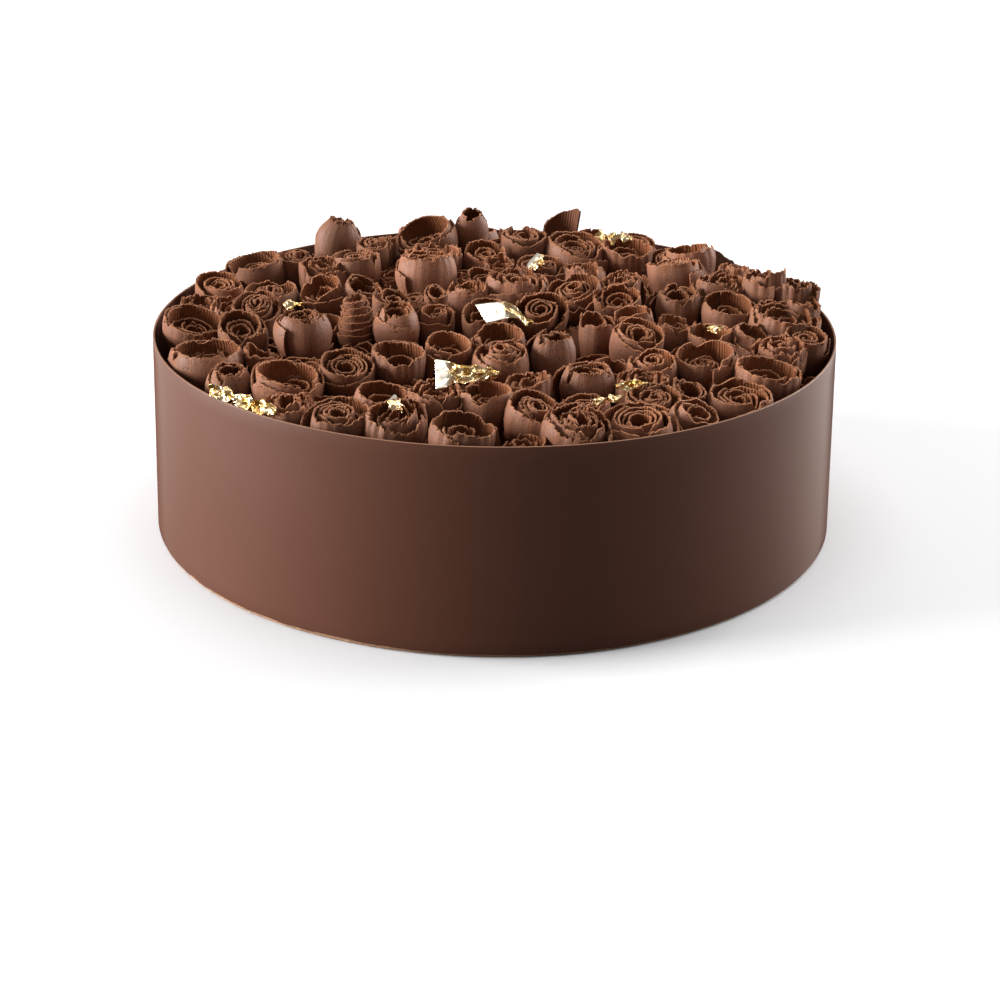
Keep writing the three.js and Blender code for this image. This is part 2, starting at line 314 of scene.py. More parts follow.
def outerSide(tree, low, high):   # 1 on faces that look away from the axis, which is low to high mm off
    turned = tree.nodes.new("ShaderNodeVectorMath")
    turned.operation = 'DOT_PRODUCT'
    tree.links.new(objectPlace(tree), turned.inputs[0])
    tree.links.new(tree.nodes.new("ShaderNodeNewGeometry").outputs["True Normal"], turned.inputs[1])
    return remap(tree, turned.outputs["Value"], low * mm, high * mm)


def upright(tree):   # the share of a face's normal that points up
    split = tree.nodes.new("ShaderNodeSeparateXYZ")
    tree.links.new(tree.nodes.new("ShaderNodeNewGeometry").outputs["True Normal"], split.inputs[0])
    return split.outputs["Z"]


def bandMaterial(look):
    material, tree, shader = newMaterial("bandChocolate")
    grain = grainOn(tree, look["patches"], look["grain"], look["contrast"])
    outer = outerSide(tree, *look["outside"])
    # painted shade: the inside of the band is darkened as if in shadow
    shade = maths(tree, 'MULTIPLY', grain["Shade"], remap(tree, outer, 0, 1, look["inside"], 1))
    # faces that turn up or down are paler: partly their own colour, partly a painted highlight
    edge = remap(tree, maths(tree, 'ABSOLUTE', upright(tree)), *look["cutSlope"])
    colour = blendColour(tree, edge, shadeColour(tree, look["colour"], shade), look["cut"])
    plug(tree, shader.inputs["Base Color"], colour)
    plug(tree, shader.inputs["Roughness"], remap(tree, grain["Patch"], 0.3, 0.7, *look["roughness"]))
    plug(tree, shader.inputs["Normal"], bump(tree, grain["Relief"], *look["relief"]))
    sheen = remap(tree, heightOver(tree, 0, bandShape["rim"]), 0, 1, *look["sheen"])
    glance = tree.nodes.new("ShaderNodeLayerWeight").outputs["Facing"]
    sheen = maths(tree, 'MULTIPLY', sheen, remap(tree, glance, *look["glance"], 1.0, 0.0))
    plug(tree, shader.inputs["Sheen Weight"], maths(tree, 'MULTIPLY', outer, sheen))
    shader.inputs["IOR"].default_value = look["ior"]
    shader.inputs["Sheen Roughness"].default_value = look["sheenRoughness"]
    shader.inputs["Sheen Tint"].default_value = look["sheenTint"]
    return material


def makeBand(shape, material):
    clearSelection()
    bpy.ops.mesh.primitive_circle_add(vertices=shape["sides"], radius=shape["baseRadius"] * mm,
                                      location=(0, 0, shape["lift"] * mm))
    band = bpy.context.object
    bpy.ops.object.transform_apply(location=True)
    bpy.ops.object.mode_set(mode='EDIT')
    bpy.ops.mesh.select_all(action='SELECT')
    rise = (shape["rim"] - shape["lift"]) / shape["steps"] * mm
    lean = (shape["rimRadius"] / shape["baseRadius"]) ** (1 / shape["steps"])
    for _ in range(shape["steps"]):
        bpy.ops.mesh.extrude_region_move(TRANSFORM_OT_translate={"value": (0, 0, rise)})
        bpy.ops.transform.resize(value=(lean, lean, 1))
    bpy.ops.mesh.select_all(action='SELECT')
    bpy.ops.mesh.normals_make_consistent(inside=False)
    bpy.ops.object.mode_set(mode='OBJECT')
    lower = band.vertex_groups.new(name="lowerEdge")
    cut, spread = shape["cutSide"]
    share = shape["waveShare"]
    for vertex in [v for v in band.data.vertices if v.co.z < (shape["lift"] + 1) * mm]:
        turn = (math.degrees(math.atan2(vertex.co.y, vertex.co.x)) - cut + 180) % 360 - 180
        lower.add([vertex.index], share + (1 - share) * math.exp(-(turn / spread) ** 2), 'REPLACE')
    makeUneven(band, "lowerEdge", shape["waveSize"], shape["edgeWave"], shape["waveMiddle"])
    wall = band.modifiers.new("wall", 'SOLIDIFY')
    wall.thickness = shape["thickness"] * mm
    wall.offset = -1
    softenEdges(band, shape["edgeRound"])
    applyModifiers(band)
    smoothShade(band, 40)
    return declare(band, "chocolateBand", material, "chocolate_band")


band = makeBand(bandShape, bandMaterial(bandLook))
print("band made")


# cake: only its foot shows, under the band's lower edge

cakeLook = {
    "crumb": srgb(66, 40, 29),
    "foot": srgb(176, 134, 104),
    "footTop": (0.8, 2.0),
    "patches": 300,       # per metre
    "grain": 900,
    "contrast": 1.2,
    "relief": (0.7, 1.0),   # strength, and depth in mm
    "roughness": 0.8,
}

cakeShape = {
    "sides": 256,
    "radius": 98.4,
    "topRadius": 97.1,
    "height": 44.0,
    "edge": 0.5,
    "rings": (6, 30),
    "foot": (99.5, 1.2),   # radius and height to which it spreads under the band
}


def cakeMaterial(look):
    material, tree, shader = newMaterial("cakeSponge")
    grain = grainOn(tree, look["patches"], look["grain"], look["contrast"])
    colour = blendColour(tree, heightOver(tree, *look["footTop"]), look["foot"], look["crumb"])
    plug(tree, shader.inputs["Base Color"], shadeColour(tree, colour, grain["Shade"]))
    plug(tree, shader.inputs["Normal"], bump(tree, grain["Relief"], *look["relief"]))
    shader.inputs["Roughness"].default_value = look["roughness"]
    return material


def makeCake(shape, material):
    clearSelection()
    bpy.ops.mesh.primitive_cone_add(vertices=shape["sides"], radius1=shape["radius"] * mm,
                                    radius2=shape["topRadius"] * mm, depth=shape["height"] * mm,
                                    location=(0, 0, shape["height"] / 2 * mm))
    cake = bpy.context.object
    bpy.ops.object.transform_apply(location=True)
    for face in cake.data.polygons:
        face.select = abs(face.normal.z) > 0.9
    bpy.ops.object.mode_set(mode='EDIT')
    for width in shape["rings"]:
        bpy.ops.mesh.inset(thickness=width * mm)
    bpy.ops.object.mode_set(mode='OBJECT')
    softenEdges(cake, shape["edge"])
    applyModifiers(cake)
    footRadius, footHeight = shape["foot"]
    pickOnly(cake)
    bpy.ops.object.mode_set(mode='EDIT')
    bpy.ops.mesh.select_all(action='SELECT')
    bpy.ops.mesh.bisect(plane_co=(0, 0, footHeight * mm), plane_no=(0, 0, 1))
    bpy.ops.object.mode_set(mode='OBJECT')
    for vertex in cake.data.vertices:
        outer = math.hypot(vertex.co.x, vertex.co.y) > (shape["radius"] - 2 * shape["edge"]) * mm
        if outer and vertex.co.z < (footHeight - 0.1) * mm:
            vertex.co.xy *= footRadius / shape["radius"]
    smoothShade(cake, 40)
    return declare(cake, "cakeBody", material, "cake")


makeCake(cakeShape, cakeMaterial(cakeLook))
print("cake made")


# heap core: the low lumpy floor that the curls stand in, near black as painted shade between them

coreLook = {
    # near black, darker than the chocolate: painted shade down between the curls
    "colour": srgb(38, 16, 8),
    "patches": 260,       # per metre
    "grain": 900,
    "contrast": 1.0,
    "relief": (0.6, 1.0),   # strength, and depth in mm
    "roughness": 0.8,
    "ior": 1.15,
}

coreShape = {
    "sides": 128,
    "radius": 95.0,
    "low": 44.4,
    "top": 50.0,
    "rings": 14,
    "lumps": 3.0,
    "lumpSize": 8.0,
}


def coreMaterial(look):
    material, tree, shader = newMaterial("heapCoreChocolate")
    grain = grainOn(tree, look["patches"], look["grain"], look["contrast"])
    # the near-black colour is painted shade of the gaps
    plug(tree, shader.inputs["Base Color"], shadeColour(tree, look["colour"], grain["Shade"]))
    plug(tree, shader.inputs["Normal"], bump(tree, grain["Relief"], *look["relief"]))
    shader.inputs["Roughness"].default_value = look["roughness"]
    shader.inputs["IOR"].default_value = look["ior"]
    return material


def makeHeapCore(shape, material):
    clearSelection()
    depth = (shape["top"] - shape["low"]) * mm
    middle = (0, 0, shape["low"] * mm + depth / 2)
    bpy.ops.mesh.primitive_cylinder_add(vertices=shape["sides"], radius=shape["radius"] * mm,
                                        depth=depth, location=middle)
    core = bpy.context.object
    bpy.ops.object.transform_apply(location=True)
    for face in core.data.polygons:
        face.select = face.normal.z > 0.9
    bpy.ops.object.mode_set(mode='EDIT')
    ring = shape["radius"] / (shape["rings"] + 1)
    for _ in range(shape["rings"]):
        bpy.ops.mesh.inset(thickness=ring * mm)
    bpy.ops.object.mode_set(mode='OBJECT')
    upper = core.vertex_groups.new(name="upper")
    upper.add([v.index for v in core.data.vertices if v.co.z > middle[2]], 1.0, 'REPLACE')
    makeUneven(core, "upper", shape["lumpSize"], shape["lumps"])
    applyModifiers(core)
    smoothShade(core, 60)
    return declare(core, "heapCore", material, "chocolate_curls")


makeHeapCore(coreShape, coreMaterial(coreLook))
print("heap core made")


# curls: satin outside, finely ridged inside, paler along the torn edge

curlLook = {
    "outer": srgb(130, 87, 66),
    # the inside: partly the scraped chocolate's own warmer colour, partly painted warm bounce light between
    # the turns
    "inner": srgb(130, 77, 47),
    "edge": srgb(150, 99, 68),
    "broken": srgb(134, 86, 60),   # where the smooth skin has come off
    "edgeWidth": (0.1, 0.5),       # mm of the paler edge, full and faded out
    "edgeWander": 0.2,
    "patches": 130,                # per metre, as are grain, breaks and pits
    "grain": 1300,
    "contrast": 0.7,
    "breaks": 280,
    "breakLimits": (0.55, 0.58),
    "breakFade": (5, 0.02, -0.12),   # mm below the rim over which the breaks get fewer, and from what to what
    "pits": 900,
    "pitLimits": (0.62, 0.72),
    "pitShade": 0.8,
    "streaks": 0.8,                # per mm, along the strip
    "streakShade": (0.94, 1.06),
    "ridgePitch": 0.9,             # mm between the scraped ridges inside a curl
    "ridgeOutside": 0.06,          # what shows of them outside
    "gaps": (49, 58),              # heights between which painted shade darkens the gaps
    # painted shade: the colour down in the gaps between the curls, darker and redder
    "paintedGapShade": (0.45, 0.26, 0.16, 1),
    "shine": (0.1, 0.5),           # down in the gaps and above them
    "roughness": (0.58, 0.7),      # outside and inside
    "ior": 1.32,
    "relief": {                    # strength, and depth in mm
        "ridge": (0.5, 0.18),
        "skin": (0.18, 0.4),
        "pit": (0.3, 0.3),
        "grain": (0.35, 0.5),
    },
}


def streakPlace(tree, along, rim, toneAndLeafShade):   # places that run together down the strip
    node = tree.nodes.new("ShaderNodeCombineXYZ")
    for socket, value, scale in zip(node.inputs, (along, rim, toneAndLeafShade), (1, 0.08, 90)):
        plug(tree, socket, maths(tree, 'MULTIPLY', value, scale))
    return node.outputs[0]


def curlMaterial(look):
    material, tree, shader = newMaterial("curlChocolate")
    inner, rim, along, toneAndLeafShade = (attribute(tree, name) for name in ("inner", "rim", "along", "toneAndLeafShade"))
    grain = grainOn(tree, look["patches"], look["grain"], look["contrast"])
    streak = noise(tree, streakPlace(tree, along, rim, toneAndLeafShade), look["streaks"])
    wander = look["edgeWander"]
    ragged = maths(tree, 'ADD', rim, remap(tree, grain["Relief"], 0.3, 0.7, -wander, wander))
    torn = remap(tree, ragged, *look["edgeWidth"], 1, 0)
    wear = noise(tree, objectPlace(tree), look["breaks"])
    wear = maths(tree, 'ADD', wear, remap(tree, rim, 0, *look["breakFade"]))
    broken = remap(tree, wear, *look["breakLimits"])
    colour = blendColour(tree, broken, look["outer"], look["broken"])
    # inside faces take the redder colour: partly their own, partly painted bounce light
    colour = blendColour(tree, inner, colour, look["inner"])
    colour = blendColour(tree, torn, colour, look["edge"])
    # painted shade: the colour darkens and reddens down in the gaps, where little light falls
    over = heightOver(tree, *look["gaps"])
    colour = shadeColour(tree, colour, blendColour(tree, over, look["paintedGapShade"], (1, 1, 1, 1)))
    pit = remap(tree, noise(tree, objectPlace(tree), look["pits"], 1), *look["pitLimits"])
    shade = maths(tree, 'MULTIPLY', toneAndLeafShade, remap(tree, streak, 0.3, 0.7, *look["streakShade"]))
    shade = maths(tree, 'MULTIPLY', shade, remap(tree, pit, 0, 1, 1, look["pitShade"]))
    shade = maths(tree, 'MULTIPLY', grain["Shade"], shade)
    plug(tree, shader.inputs["Base Color"], shadeColour(tree, colour, shade))
    dull = maths(tree, 'MAXIMUM', maths(tree, 'MAXIMUM', inner, torn), broken)
    plug(tree, shader.inputs["Roughness"], remap(tree, dull, 0, 1, *look["roughness"]))
    place = maths(tree, 'ADD', along, remap(tree, grain["Patch"], 0, 1, 0, look["ridgePitch"]))
    ridge = maths(tree, 'SINE', maths(tree, 'MULTIPLY', place, 2 * math.pi / look["ridgePitch"]))
    ridge = maths(tree, 'MULTIPLY', ridge, remap(tree, inner, 0, 1, look["ridgeOutside"], 1.0))
    skin = maths(tree, 'SUBTRACT', streak, maths(tree, 'MULTIPLY', broken, 0.5))
    normal = None
    for name, height in (("ridge", ridge), ("skin", skin), ("pit", maths(tree, 'SUBTRACT', 1.0, pit)),
                         ("grain", grain["Relief"])):
        normal = bump(tree, height, *look["relief"][name], normal)
    plug(tree, shader.inputs["Normal"], normal)
    plug(tree, shader.inputs["Specular IOR Level"], remap(tree, over, 0, 1, *look["shine"]))
    shader.inputs["IOR"].default_value = look["ior"]
    return material


# where each curl stands, by the same rule as the solids

heapRule = {
    "field": 96.7,        # radius of the room inside the band
    "fillers": ((16, 8), (14, 14), (12, 14), (10, 14)),   # width and the most of it
    "fillerTop": (56, 60),
    "rise": 3,            # the heap rises to the back
    "fillerLean": 16,
    "seats": 2400,
    "seatStep": 1009,
    "packing": 0.86,
    "kinds": (("rose", 0.46), ("torn", 0.7), ("cup", 0.84), ("barrel", 0.94), ("tube", 1.0)),
    "seed": 20,
    "lowTop": 59,         # curls up to here are half hidden
    "tones": (0.84, 1.14),
}

shownCurls = (   # kind, x, y, width, height of the top, lean and the way it leans in degrees
    ("torn", 8, -90, 11, 56, 4, 90),
    ("cup", -7, -88, 16, 60, 13, -15),
    ("torn", 22, -85, 17, 60, 14, -60),
    ("torn", -25, -80, 16, 60, 4, -45),
    ("rose", -40, -79, 16, 60, 7, -90),
    ("rose", 37, -80, 19, 59, 11, -90),
    ("rose", 11, -74, 15, 60, 14, -45),
    ("rose", 53, -74, 12, 59, 27, -25),
    ("torn", -53, -73, 14, 60, 9, -90),
    ("rose", 24, -68, 12, 59, 0, 0),
    ("cup", -29, -66, 14, 60, 11, -35),
    ("torn", -15, -65, 15, 61, 3, -90),
    ("cup", -2, -65, 14, 61, 3, 90),
    ("rose", 42, -65, 15, 60, 7, -90),
    ("rose", 65, -60, 16, 59, 8, -77),
    ("tube", 52, -59, 9, 60, 21, -90),
    ("torn", 9, -56, 12, 61, 2, 90),
    ("cup", -55, -54, 19, 61, 6, -55),
    ("torn", 40, -54, 13, 61, 8, -5),
    ("barrel", -71, -52, 14, 61, 7, -90),
    ("barrel", 25, -50, 16, 62, 4, -90),
    ("rose", -40, -48, 15, 62, 16, -90),
    ("cup", 74, -45, 17, 61, 5, -15),
    ("rose", 43, -43, 13, 62, 11, -90),
    ("cup", -26, -41, 15, 63, 6, -90),
    ("rose", 2, -40, 15, 63, 8, -90),
    ("cup", 58, -37, 17, 62, 6, -90),
    ("torn", -65, -36, 8, 61, 11, -90),
    ("cup", -79, -35, 21, 61, 3, 90),
    ("cup", -13, -33, 13, 63, 11, -65),
    ("barrel", 16, -33, 14, 65, 1, 90),
    ("torn", 79, -30, 15, 62, 5, -60),
    ("cup", 1, -28, 14, 64, 11, -90),
    ("rose", 41, -22, 15, 63, 16, -50),
    ("barrel", -54, -20, 16, 66, 5, -90),
    ("rose", 88, -20, 13, 62, 8, -54),
    ("cup", 61, -18, 13, 62, 2, -90),
    ("cup", 73, -18, 11, 62, 18, -20),
    ("rose", -72, -16, 14, 62, 13, -90),
    ("torn", 29, -12, 10, 63, 5, -90),
    ("barrel", -28, -10, 15, 65, 3, -90),
    ("torn", 52, -10, 12, 62, 1, 90),
    ("cup", -86, -9, 19, 61, 15, -45),
    ("cup", -3, -7, 14, 64, 12, -90),
    ("tube", 39, -7, 11, 64, 14, -165),
    ("cone", -40, -6, 11, 68, 0, 0),
    ("rose", -17, -5, 10, 63, 6, -90),
    ("rose", 13, -5, 14, 64, 31, -90),
    ("rose", -69, -3, 16, 63, 20, -70),
    ("torn", 84, -6, 19, 64, 8, -62),
    ("torn", 90, 4, 11, 64, 6, 0),
    ("rose", -30, 2, 11, 65, 12, -90),
    ("cup", 68, 2, 16, 64, 9, -90),
    ("tube", -17, 3, 8, 66, 19, -90),
    ("rose", 36, 5, 13, 65, 23, -90),
    ("barrel", 54, 9, 15, 65, 9, -90),
    ("torn", 88, 13, 12, 67, 3, 90),
    ("torn", 80, 16, 12, 69, 3, 90),
    ("torn", -87, 11, 11, 60, 3, -90),
    ("rose", 23, 11, 16, 65, 21, -125),
    ("tube", -39, 12, 10, 65, 31, -45),
    ("cup", -52, 13, 13, 64, 24, -135),
    ("rose", -67, 14, 16, 63, 3, -90),
    ("torn", -8, 15, 11, 64, 0, 0),
    ("torn", 38, 18, 13, 66, 0, 0),
    ("torn", 68, 18, 15, 66, 3, -90),
    ("torn", 6, 19, 17, 66, 1, 90),
    ("rose", -83, 24, 14, 62, 10, -90),
    ("rose", -4, 27, 11, 64, 7, -90),
    ("barrel", -21, 30, 18, 69, 5, 90),
    ("torn", 73, 29, 13, 66, 3, 90),
    ("torn", 27, 33, 12, 65, 4, 90),
    ("torn", -53, 34, 13, 65, 1, -90),
    ("rose", 54, 34, 17, 67, 12, 150),
    ("rose", 14, 36, 14, 65, 13, -90),
    ("torn", 1, 38, 10, 65, 4, -90),
    ("rose", -43, 40, 15, 66, 2, 90),
    ("cup", -74, 40, 18, 64, 10, -175),
    ("rose", -61, 43, 13, 65, 13, -90),
    ("torn", -19, 46, 16, 66, 2, 90),
    ("rose", -3, 47, 13, 66, 14, -90),
    ("cup", 60, 47, 14, 67, 8, 155),
    ("leaf", 71, 48, 12, 67, 14, 60),
    ("cup", 41, 53, 16, 66, 7, -90),
    ("rose", -39, 54, 11, 66, 7, -90),
    ("rose", 25, 54, 18, 67, 6, -90),
    ("rose", 9, 58, 15, 68, 3, -90),
    ("cup", -23, 62, 18, 68, 20, -140),
    ("bud", -49, 64, 15, 70, 12, 0),
    ("torn", 38, 67, 13, 64, 1, 90),
    ("barrel", -8, 68, 12, 72, 8, -110),
    ("leaf", 22, 82, 10, 71, 8, 20),
)

curlKeys = ("kind", "x", "y", "width", "top", "lean", "toward")
drawFactor, drawRange = 16807, 2147483647


def seatAt(number, rule):
    distance = rule["field"] * math.sqrt((number + 0.5) / rule["seats"])
    angle = number * math.pi * (3 - math.sqrt(5))
    return distance * math.cos(angle), distance * math.sin(angle)


def hasRoom(x, y, width, curls, rule, packing):
    if math.hypot(x, y) > rule["field"] - width / 2:
        return False
    return all(math.hypot(x - c["x"], y - c["y"]) > packing * (width + c["width"]) / 2 for c in curls)


def layOutCurls(rule, shown):
    curls = [dict(zip(curlKeys, row)) for row in shown]
    state = rule["seed"]

    def draw(low, high):
        nonlocal state
        state = state * drawFactor % drawRange
        return low + (high - low) * state / drawRange

    for width, most in rule["fillers"]:
        full = len(curls) + most
        for number in range(rule["seats"]):
            x, y = seatAt(number * rule["seatStep"] % rule["seats"], rule)
            if len(curls) == full or not hasRoom(x, y, width, curls, rule, rule["packing"]):
                continue
            pick = draw(0, 1)
            kind = next(name for name, limit in rule["kinds"] if pick <= limit)
            top = draw(*rule["fillerTop"]) + rule["rise"] * y / rule["field"]
            lean, toward = draw(0, rule["fillerLean"]), draw(0, 360)
            curls.append(dict(zip(curlKeys, (kind, x, y, width, top, lean, toward))))
    return curls


# a curl: a thin strip rolled from the middle out, its outermost turn a collar, its upper edge torn
# lengths in mm; hole, mouth at the rim and foot at the bottom as shares of the radius
# stave: width of a torn strip of the edge, its rise and its lean; bites: one for so many mm of edge

curlKinds = {
    "rose": {"collar": (1.1, 1.5), "gap": (0.4, 1.9), "pitch": (1.0, 1.4), "hole": (0.08, 0.22),
             "drop": (0.0, 1.3), "step": (-0.7, 0.8), "mouth": (0.88, 0.98), "belly": 4.5, "foot": 0.72,
             "slope": 0.1, "uneven": 0.3, "teeth": 0.16, "stave": (3.4, 0.1, 0.04), "crack": 0.35,
             "bites": 12, "flap": (0, 4), "flute": 0.25},
    "torn": {"collar": (1.05, 1.4), "gap": (0.3, 1.2), "pitch": (1.6, 2.2), "hole": (0.1, 0.26),
             "drop": (-0.4, 1.4), "step": (-0.9, 0.9), "mouth": (0.86, 1.0), "belly": 4.5, "foot": 0.74,
             "slope": 0.14, "uneven": 0.5, "teeth": 0.24, "stave": (1.8, 0.25, 0.25), "crack": 0.5,
             "bites": 8, "flap": (1, 4), "flute": 0.7},
    "cup": {"collar": (1.15, 1.6), "gap": (0, 0), "pitch": (1.5, 1.5), "hole": (1.0, 1.0),
            "drop": (0, 0), "step": (0, 0), "mouth": (0.88, 1.0), "belly": 3.5, "foot": 0.66,
            "slope": 0.08, "uneven": 0.35, "teeth": 0.12, "stave": (4.5, 0.06, 0.04), "crack": 0.4,
            "bites": 13, "flap": (0, 5), "flute": 0.45},
    "barrel": {"collar": (1.3, 1.9), "gap": (0.1, 0.8), "pitch": (1.2, 1.5), "hole": (0.3, 0.46),
               "drop": (0.2, 1.2), "step": (0.2, 1.0), "mouth": (0.6, 0.86), "belly": 6.0, "foot": 0.74,
               "slope": 0.08, "uneven": 0.35, "teeth": 0.16, "stave": (3.4, 0.2, 0.06), "crack": 0.6,
               "bites": 9, "flap": (1, 6), "flute": 0.2},
    "bud": {"collar": (1.5, 2.1), "gap": (0.2, 0.8), "pitch": (1.3, 1.6), "hole": (0.24, 0.4),
            "drop": (-0.4, 0.8), "step": (0.2, 0.8), "mouth": (0.5, 0.62), "belly": 7.5, "foot": 0.75,
            "slope": 0.1, "uneven": 0.4, "teeth": 0.18, "stave": (3.0, 0.4, 0.2), "crack": 0.8,
            "bites": 9, "flap": (2, 7), "flute": 0.1},
    "tube": {"collar": (1.6, 2.2), "gap": (0, 0), "pitch": (1.3, 1.3), "hole": (0.5, 0.62),
             "drop": (0.1, 0.6), "step": (0, 0.4), "mouth": (0.94, 1.0), "belly": 5.0, "foot": 0.9,
             "slope": 0.12, "uneven": 0.3, "teeth": 0.14, "stave": (4.0, 0.12, 0.06), "crack": 0.4,
             "bites": 14, "flap": (0, 4), "flute": 0.1},
}

stripShape = {
    "height": 16.0,       # of the collar
    "bowl": 13.0,         # depth at which the collar has narrowed to its foot
    "inside": 6.5,        # of the inner turns, as far as one sees in
    "thickness": 0.6,
    "rimThickness": 0.42,
    "lap": 0.95,          # growth of the collar in one turn
    "ease": 1.2,          # radians from the inner turns out to the collar
    "step": 0.5,          # between columns along the strip
    "lowStep": 0.9,       # in low curls, which are half hidden
    "rows": (1.0, 0.62, 0.36, 0.19, 0.08, 0.026, 0.0),   # depth of each row as a share of the height
    "lobes": ((2, 0.02), (3.3, 0.018)),   # waves in a turn, and their share of the radius
    "dent": 0.03,         # share of the radius
    "lift": (0.04, 0.24),   # of the free end, as a share of the radius
    "flapSpan": (2.0, 6.0),   # radians over which the free end drops
    "biteWidth": (0.8, 3.0),
    "biteDepth": (0.3, 2.5),
    "squash": 0.12,
}


def softNoise(rng, length, wave):   # a wandering line from -1 to 1
    count = int(length.max() / wave) + 3
    knots = rng.uniform(-1, 1, count)
    place = length / wave
    low = place.astype(int)
    ease = (place - low) ** 2 * (3 - 2 * (place - low))
    return knots[low] * (1 - ease) + knots[low + 1] * ease


def smoothStep(value):
    value = np.clip(value, 0, 1)
    return value * value * (3 - 2 * value)


# each column's angle, radius, share of collar, place along the strip, and angles to the end and the collar
def rollPath(kind, radius, shape, rng):
    collarTurns = rng.uniform(*kind["collar"])
    collarIn = radius - shape["lap"] * collarTurns
    pitch = rng.uniform(*kind["pitch"])
    coilOut = collarIn - rng.uniform(*kind["gap"])
    openness = min(max((22 - 2 * radius) / 6, 0.8), 2)   # narrow rolls are more open
    hole = min(rng.uniform(*kind["hole"]) * radius * openness, coilOut)
    coilSpan = 2 * math.pi * (coilOut - hole) / pitch
    span = coilSpan + 2 * math.pi * collarTurns
    angle = np.linspace(0, span, 4000)
    ease = smoothStep((angle - coilSpan) / shape["ease"] + (1 if coilSpan < 1 else 0))
    coil = hole + pitch * angle / (2 * math.pi)
    collar = radius - shape["lap"] * (span - angle) / (2 * math.pi)
    reach = coil * (1 - ease) + collar * ease
    length = np.concatenate([[0], np.cumsum(np.hypot(np.diff(reach), reach[1:] * np.diff(angle)))])
    even = np.linspace(0, length[-1], int(length[-1] / shape["step"]) + 2)
    angle, reach, ease = (np.interp(even, length, values) for values in (angle, reach, ease))
    return angle, reach, ease, even, span - angle, coilSpan - angle


def tornEdge(kind, length, shape, rng):   # height and outward lean of the upper edge at each column
    width, rise, lean = kind["stave"]
    ends = np.cumsum(rng.uniform(0.5, 1.5, int(length[-1] / width * 2) + 4) * width)
    stave = np.searchsorted(ends, length)
    height = rise * rng.normal(0, 1, len(ends) + 1)[stave]
    outward = lean * rng.normal(0, 1, len(ends) + 1)[stave]
    cracked = np.diff(stave, prepend=0) > 0
    height -= cracked * rng.uniform(0, 2, len(length)) * kind["crack"]
    for place in rng.uniform(0, length[-1], int(length[-1] / kind["bites"])):
        wide, deep = rng.uniform(*shape["biteWidth"]), rng.uniform(*shape["biteDepth"])
        height -= deep * np.clip(1 - np.abs(length - place) / wide, 0, 1) ** 0.6
    height += kind["uneven"] * softNoise(rng, length, 8) + kind["teeth"] * rng.uniform(-1, 1, len(length))
    return height, outward


def rollStrip(kind, radius, shape, rng):
    angle, reach, collar, length, toEnd, toCollar = rollPath(kind, radius, shape, rng)
    drop, step = rng.uniform(*kind["drop"]), rng.uniform(*kind["step"])
    torn, outward = tornEdge(kind, length, shape, rng)
    top = -(1 - collar) * (drop + step * np.maximum(toCollar, 0) / (2 * math.pi)) + torn
    top += rng.uniform(0, kind["slope"]) * reach * np.cos(angle - rng.uniform(0, 2 * math.pi))
    flapSpan = rng.uniform(*shape["flapSpan"])
    top -= rng.uniform(*kind["flap"]) * np.clip(1 - toEnd / flapSpan, 0, 1) ** 1.5
    top -= np.percentile(top[collar > 0.5], 75)
    bottom = (1 - collar) * (np.minimum(top, 0) - shape["inside"]) - collar * shape["height"]
    rows = np.array(shape["rows"])
    z = top[:, None] - (top - bottom)[:, None] * rows
    depth = np.clip(-z, 0, shape["height"])
    belly, mouth = kind["belly"], rng.uniform(*kind["mouth"])
    reach = reach / (mouth if mouth > 0.85 else 1)   # open curls are as wide as the table says at the rim
    swell = 1 - (1 - mouth) * np.clip(1 - depth / belly, 0, 1) ** 2
    swell -= (1 - kind["foot"]) * np.clip((depth - belly) / (shape["bowl"] - belly), 0, 1) ** 1.8
    lobes = sum(share * np.sin(waves * angle + rng.uniform(0, 6.28)) for waves, share in shape["lobes"])
    lift = rng.uniform(*shape["lift"]) * np.clip(1 - toEnd, 0, 1) ** 2
    flutes = rng.uniform(0, kind["flute"]) * collar * np.abs(np.sin(length * 1.2 + softNoise(rng, length, 6)))
    dents = shape["dent"] * collar[:, None] * softNoise(rng, length, 5)[:, None]
    dents = dents * np.sin(depth / 3.2 + rng.uniform(0, 6.28))
    r = reach[:, None] * (1 + (lobes + lift)[:, None] + dents) * swell
    r += outward[:, None] * np.exp(-depth / 3.5) + flutes[:, None] * np.exp(-depth / 8)
    way = 1 if rng.random() < 0.5 else -1
    turned = way * angle[:, None] + np.zeros_like(r)
    squash = rng.uniform(0, shape["squash"])
    middle = np.stack([r * np.cos(turned) * (1 + squash), r * np.sin(turned) * (1 - squash), z], axis=2)
    thickness = shape["thickness"] + (shape["rimThickness"] - shape["thickness"]) * (1 - rows) ** 6
    return wallArrays(middle, thickness / 2, length, top[:, None] - z, way)


